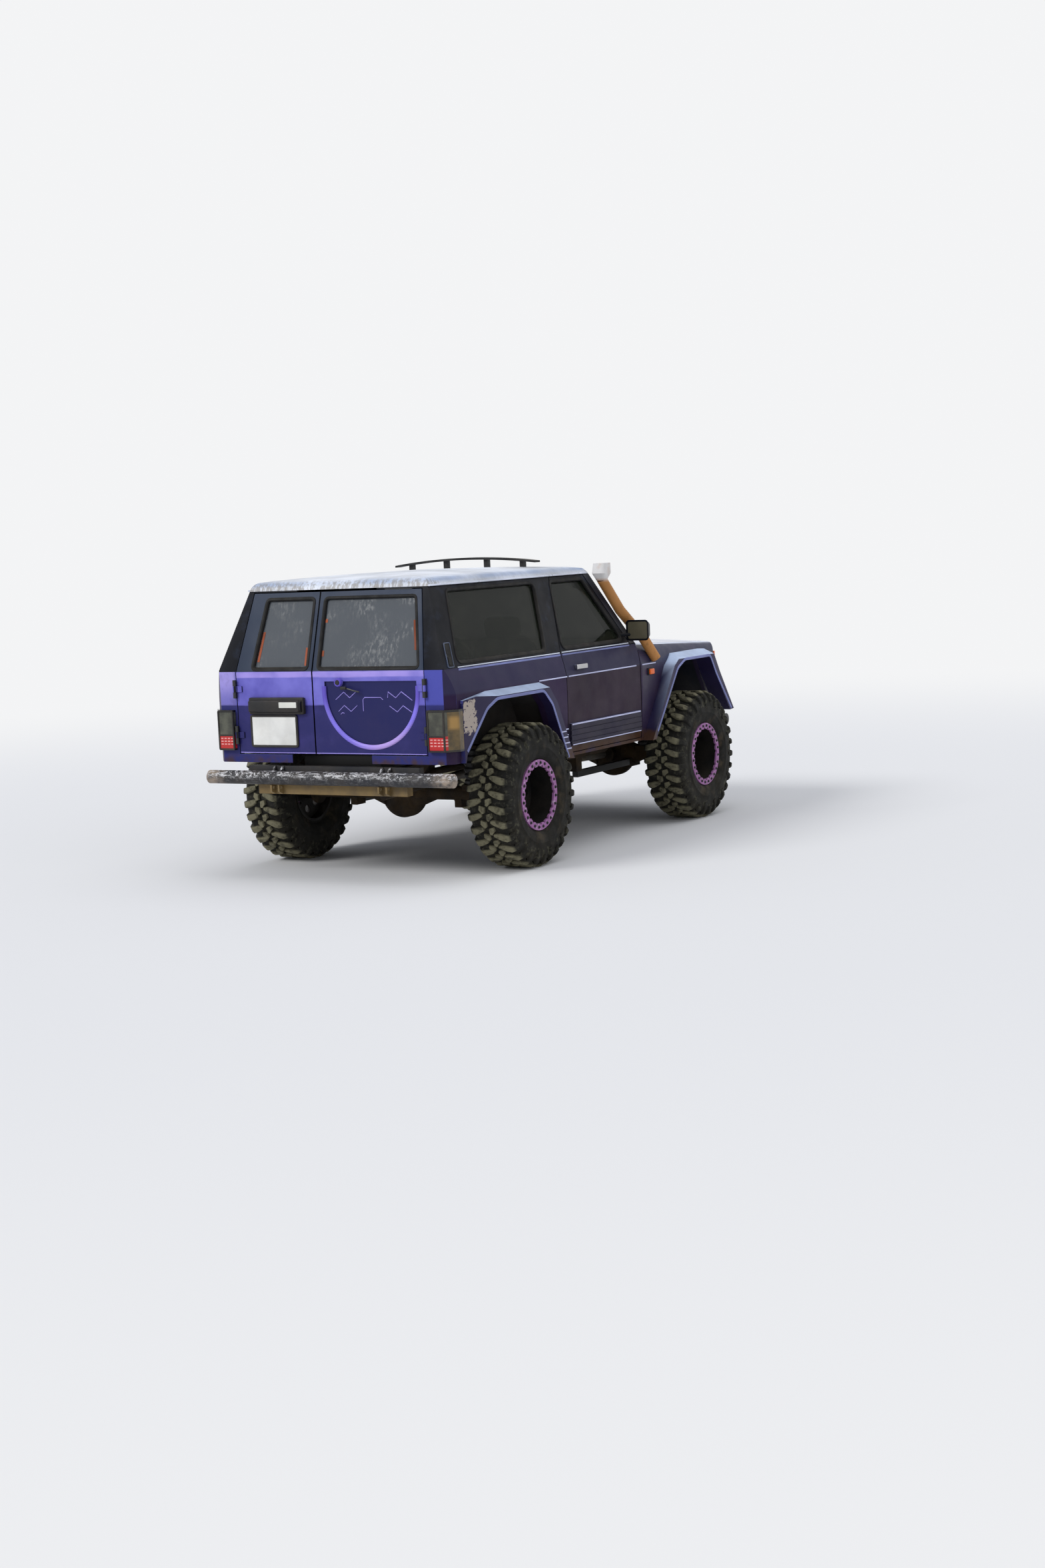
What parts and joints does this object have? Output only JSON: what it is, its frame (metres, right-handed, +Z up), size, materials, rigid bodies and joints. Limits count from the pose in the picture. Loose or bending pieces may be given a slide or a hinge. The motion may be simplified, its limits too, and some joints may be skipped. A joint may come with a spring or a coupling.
{
  "type": "lifted off-road 4x4",
  "caption": "Lifted three-door off-road vehicle with large lugged tyres, flat-topped flares, unequal rear doors, snorkel and tube bumpers; wheels roll and steer, doors and hood open.",
  "frame": {"origin": "on the ground, midway along and across the whole vehicle", "axes": "-Y points forwards to the nose, +X to the left side, +Z up"},
  "size_m": [2.042, 4.0348, 1.947],
  "materials": {
    "paint": "faded violet-blue paint with dust and small chips",
    "roof_paint": "chalky weathered white paint with dirt streaks",
    "dark_paint": "dark slate paint, dusty",
    "black_steel": "black painted steel with dust",
    "scuffed_steel": "black paint scuffed to bare and white marks",
    "cast": "dusty cast iron",
    "alloy": "dull cast alloy",
    "tyre": "mud-dusted tyre rubber",
    "wheel": "faded mauve ring on a black painted dish",
    "glass": "tinted glass with dust film",
    "lamp": "red lamp lens with smoked upper part",
    "clear_lamp": "clear lamp lens",
    "snorkel": "sun-faded tan plastic",
    "plastic": "grained dark plastic",
    "fabric": "dark woven seat fabric",
    "rust": "underside steel with surface rust and dust"
  },
  "bodies": {
    "body": {"body_side_left": "paint", "body_side_right": "paint", "roof_panel": "roof_paint", "windscreen_frame": "dark_paint", "body_glass": "glass", "body_hinges": "black_steel", "fender_left": "paint", "fender_right": "paint", "nose_panel": "dark_paint", "headlamps": "clear_lamp", "flares_front": "paint", "flares_rear": "paint", "tail_lamps": "lamp", "snorkel": "snorkel", "roof_bar": "plastic", "body_floor": "dark_paint", "inner_wings": "dark_paint", "front_seats": "fabric", "rear_bench": "fabric", "dashboard": "plastic", "chassis_frame": "rust", "rear_bumper": "scuffed_steel", "front_bumper": "black_steel", "engine_block": "cast", "gearbox": "alloy", "fuel_tank": "black_steel", "exhaust": "rust", "front_axle": "cast", "rear_axle": "cast", "front_suspension": "black_steel", "rear_suspension": "black_steel"},
    "front_door_left": {"front_door_left": "paint", "door_glass_left": "glass"},
    "front_door_right": {"front_door_right": "paint", "door_glass_right": "glass"},
    "rear_door_left": {"rear_door_left": "paint", "rear_glass_left": "glass"},
    "rear_door_right": {"rear_door_right": "paint", "rear_glass_right": "glass"},
    "hood": {"hood": "paint"},
    "knuckle_left": {"knuckle_left": "cast"},
    "knuckle_right": {"knuckle_right": "cast"},
    "tie_rod": {"tie_rod": "black_steel"},
    "wheel_front_left": {"tyre_front_left": "tyre", "wheel_front_left": "wheel"},
    "wheel_front_right": {"tyre_front_right": "tyre", "wheel_front_right": "wheel"},
    "wheel_rear_left": {"tyre_rear_left": "tyre", "wheel_rear_left": "wheel"},
    "wheel_rear_right": {"tyre_rear_right": "tyre", "wheel_rear_right": "wheel"}
  },
  "joints": [
    {"name": "front_door_left_swing", "type": "hinge", "parent": "body", "child": "front_door_left", "pos_m": [0.85, -0.4975, 1], "axis": [0, 0, -1], "range_deg": [0, 70]},
    {"name": "rear_door_left_swing", "type": "hinge", "parent": "body", "child": "rear_door_left", "pos_m": [0.712, 1.9375, 1.053], "axis": [0, 0, -1], "range_deg": [0, 90]},
    {"name": "front_door_right_swing", "type": "hinge", "parent": "body", "child": "front_door_right", "pos_m": [-0.85, -0.4975, 1], "axis": [0, 0, 1], "range_deg": [0, 70]},
    {"name": "rear_door_right_swing", "type": "hinge", "parent": "body", "child": "rear_door_right", "pos_m": [-0.712, 1.9375, 1.053], "axis": [0, 0, 1], "range_deg": [0, 90]},
    {"name": "hood_lift", "type": "hinge", "parent": "body", "child": "hood", "pos_m": [0, -0.5855, 1.3], "axis": [-1, 0, 0], "range_deg": [0, 50]},
    {"name": "steer_left", "type": "hinge", "parent": "body", "child": "knuckle_left", "pos_m": [0.655, -1.2975, 0.457], "axis": [0, 0, 1], "range_deg": [-30, 30]},
    {"name": "steer_right", "type": "hinge", "parent": "body", "child": "knuckle_right", "pos_m": [-0.655, -1.2975, 0.457], "axis": [0, 0, 1], "range_deg": [-30, 30]},
    {"name": "tie_rod_pivot", "type": "hinge", "parent": "knuckle_left", "child": "tie_rod", "pos_m": [0.655, -1.4825, 0.401], "axis": [0, 0, 1], "range_deg": [-30, 30]},
    {"name": "wheel_front_left_spin", "type": "hinge", "parent": "knuckle_left", "child": "wheel_front_left", "pos_m": [0.862, -1.2975, 0.457], "axis": [1, 0, 0], "continuous": true},
    {"name": "wheel_front_right_spin", "type": "hinge", "parent": "knuckle_right", "child": "wheel_front_right", "pos_m": [-0.862, -1.2975, 0.457], "axis": [1, 0, 0], "continuous": true},
    {"name": "wheel_rear_left_spin", "type": "hinge", "parent": "body", "child": "wheel_rear_left", "pos_m": [0.862, 1.1025, 0.457], "axis": [1, 0, 0], "continuous": true},
    {"name": "wheel_rear_right_spin", "type": "hinge", "parent": "body", "child": "wheel_rear_right", "pos_m": [-0.862, 1.1025, 0.457], "axis": [1, 0, 0], "continuous": true}
  ],
  "couplings": [
    {"joint": "steer_right", "follows": "steer_left", "ratio": 1},
    {"joint": "tie_rod_pivot", "follows": "steer_left", "ratio": -1}
  ]
}
